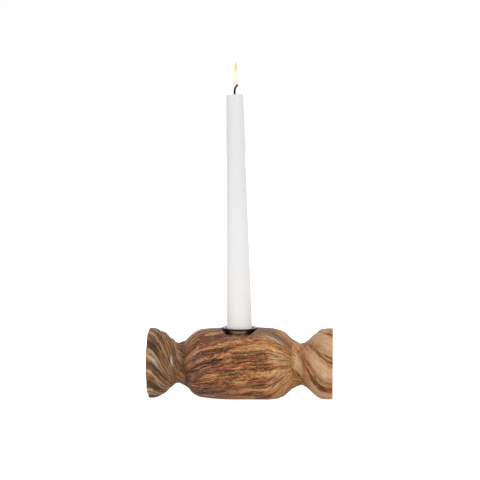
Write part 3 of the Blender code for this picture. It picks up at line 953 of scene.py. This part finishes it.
def candle_axes():
    """The candle's frame: a matrix from its foot, +Z along it, and its length."""
    axis = Vector(frame["joints"][0]["axis"]).normalized()
    places = [vertex.co for vertex in frame["nodes"]["candle"].data.vertices]
    heights = [place.dot(axis) for place in places]
    foot = min(heights)
    ring = [place for place, height in zip(places, heights) if height < foot + 0.1 * MM]
    centre = sum(ring, Vector()) / len(ring)
    turn = Vector((0, 0, 1)).rotation_difference(axis).to_matrix().to_4x4()
    return Matrix.Translation(centre) @ turn, max(heights) - foot


def make_candle(axes, length):
    """The taper, with the wick's bore, wax drawn up round the wick and a rim higher on one side."""
    slope = (CANDLE_FOOT_RADIUS - CANDLE_TOP_RADIUS) / length
    heights = np.linspace(length - CANDLE_SHOULDER, CANDLE_CHAMFER, CANDLE_STEPS + 1).tolist()
    profile = [(radius, length + height) for radius, height in CANDLE_CROWN]
    profile += [(CANDLE_FOOT_RADIUS - slope * height, height) for height in heights]
    profile += [(CANDLE_FOOT_RADIUS - CANDLE_CHAMFER, 0), (WICK_BORE_RADIUS, 0)]
    candle = turned("taper_candle", profile, 96, closed=True)
    for vertex in candle.data.vertices:
        if vertex.co.z > length + RIM_FOOT and vertex.co.xy.length > RIM_INSIDE:
            sideways = vertex.co.x / CANDLE_TOP_RADIUS
            vertex.co.z += RIM_RISE * (1 + float(smooth_step(sideways, 0.1, 0.5)))
    candle.data.set_sharp_from_angle(angle=math.radians(50))
    candle.data.transform(axes)
    wax_material().use_on(candle)
    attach(candle, "candle")
    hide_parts("candle")


def smooth_path(points, per_span):
    """Points on a smooth curve through given (sideways, up) points."""
    spans = np.arange(len(points))
    fine = np.linspace(0, len(points) - 1, per_span * (len(points) - 1) + 1)
    sideways, up = np.array(points).T
    pair = [along(list(zip(spans, values)), fine) for values in (sideways, up)]
    return np.stack(pair, axis=-1)


def make_wick(axes, length):
    """A cord of three twisted strands: a round section with three lobes that wind along it."""
    straight = np.linspace(WICK_FOOT, length + WICK_PATH[0][1] - 1 * MM, WICK_STRAIGHT_RINGS)
    low = np.stack([np.zeros_like(straight), straight], axis=-1)
    high = smooth_path(WICK_PATH, WICK_SPAN_STEPS) + np.array([0.0, length])
    path = np.concatenate([low, high])
    heading = np.gradient(path, axis=0)
    heading /= np.hypot(*heading.T)[:, None]
    run = np.concatenate([[0.0], np.cumsum(np.hypot(*np.diff(path, axis=0).T))])
    form = bmesh.new()
    rings = []
    for (sideways, up), (lean, rise), gone in zip(path, heading, run):
        ring = []
        for angle in np.linspace(0, 2 * math.pi, WICK_SIDES, endpoint=False):
            lobe = 1.0 + WICK_LOBE_SHARE * math.cos(WICK_LOBES * (angle - gone / WICK_LAY))
            out, aside = WICK_RADIUS * lobe * math.cos(angle), WICK_RADIUS * lobe * math.sin(angle)
            ring.append(form.verts.new((sideways + out * rise, aside, up - out * lean)))
        rings.append(ring)
    for below, above in zip(rings, rings[1:]):
        for i in range(len(below)):
            j = (i + 1) % len(below)
            form.faces.new((below[i], below[j], above[j], above[i]))
    form.faces.new(list(reversed(rings[0])))
    form.faces.new(rings[-1])
    mesh = mesh_from(form, "twisted_wick")
    mesh.transform(axes)
    mesh.shade_smooth()
    wick = add_object("twisted_wick", mesh)
    wick_material().use_on(wick)
    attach(wick, "candle")
    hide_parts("wick")


def flame_shell(name, axes, span, radius, notch, colours, clearness):
    """One shell of the flame: a drop with a drawn-out tip and a notch over the wick.

    Its colours and how clear it is, 0 to 1, are given from its foot to its tip.
    """
    low, high = span
    share = np.linspace(1, 0, 41)
    profile = np.stack([radius * along(FLAME_SHAPE, share), low + (high - low) * share], axis=-1)
    shell = turned(name, profile.tolist(), 32)
    for vertex in shell.data.vertices:
        t = (vertex.co.z - low) / (high - low)
        middle = 1 - min(1.0, abs(vertex.co.x) / radius)
        vertex.co.z += notch * middle * max(0.0, 1 - t / NOTCH_SHARE)
        vertex.co.x += FLAME_DRIFT[0] + (FLAME_DRIFT[1] - FLAME_DRIFT[0]) * t
    shell.data.transform(axes)
    glow = Material(name)
    place = glow.add("ShaderNodeTexCoord").outputs["Generated"]
    height = glow.add("ShaderNodeSeparateXYZ", Vector=place).outputs["Z"]
    colour = glow.ramp(height, colours)
    see_through = glow.ramp(height, [(at, (clear, clear, clear)) for at, clear in clearness])
    light = glow.add("ShaderNodeEmission", Color=colour).outputs["Emission"]
    beyond = glow.add("ShaderNodeBsdfTransparent").outputs["BSDF"]
    blend = glow.add("ShaderNodeMixShader", Fac=see_through)
    glow.give(blend.inputs[1], light)
    glow.give(blend.inputs[2], beyond)
    glow.give(glow.tree.nodes["Material Output"].inputs["Surface"], blend.outputs["Shader"])
    glow.use_on(shell)
    shell.visible_shadow = False
    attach(shell, "candle")


def light_flame(axes, length):
    """The flame, which is staging: an amber shell with a white one inside it."""
    base, tip = length + FLAME_BASE, length + FLAME_TIP
    edge = [
        (0.0, (0.94, 0.5, 0.15)),
        (0.14, (1.0, 0.78, 0.3)),
        (0.35, (1.0, 0.82, 0.5)),
        (0.6, (0.95, 0.8, 0.15)),
        (0.78, (0.93, 0.76, 0.01)),
        (0.9, (0.92, 0.5, 0.03)),
        (0.96, (0.62, 0.66, 0.76)),
    ]
    core = [
        (0.0, (1.0, 0.98, 0.25)),
        (0.22, (1.0, 1.0, 1.0)),
        (0.75, (1.0, 1.0, 1.0)),
        (1.0, (1.0, 0.97, 0.4)),
    ]
    edge_clearness = [(0.0, 0.6), (0.2, 0.78), (0.3, 0.88), (0.5, 0.86), (0.7, 0.42), (1.0, 0.5)]
    core_clearness = [(0.0, 0.2), (1.0, 0.2)]
    outer, inner = (base, tip), (base + CORE_FOOT, tip - CORE_TIP)
    flame_shell("flame_edge", axes, outer, FLAME_RADIUS, FLAME_NOTCH, edge, edge_clearness)
    flame_shell("flame_core", axes, inner, CORE_SHARE * FLAME_RADIUS, 0.0, core, core_clearness)


with open("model.json") as file:
    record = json.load(file)
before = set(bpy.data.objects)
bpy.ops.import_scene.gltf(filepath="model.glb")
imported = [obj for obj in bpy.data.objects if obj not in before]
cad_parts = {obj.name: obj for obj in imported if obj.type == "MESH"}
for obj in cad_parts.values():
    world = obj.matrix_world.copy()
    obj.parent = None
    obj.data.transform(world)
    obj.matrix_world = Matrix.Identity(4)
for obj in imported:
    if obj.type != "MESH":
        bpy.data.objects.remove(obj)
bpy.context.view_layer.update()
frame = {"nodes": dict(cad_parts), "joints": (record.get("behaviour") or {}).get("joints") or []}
make_camera()
make_studio()
carve_block()
make_cup()
screw_material().use_on(frame["nodes"]["cup_screw"])
candle_matrix, candle_length = candle_axes()
make_candle(candle_matrix, candle_length)
make_wick(candle_matrix, candle_length)
light_flame(candle_matrix, candle_length)
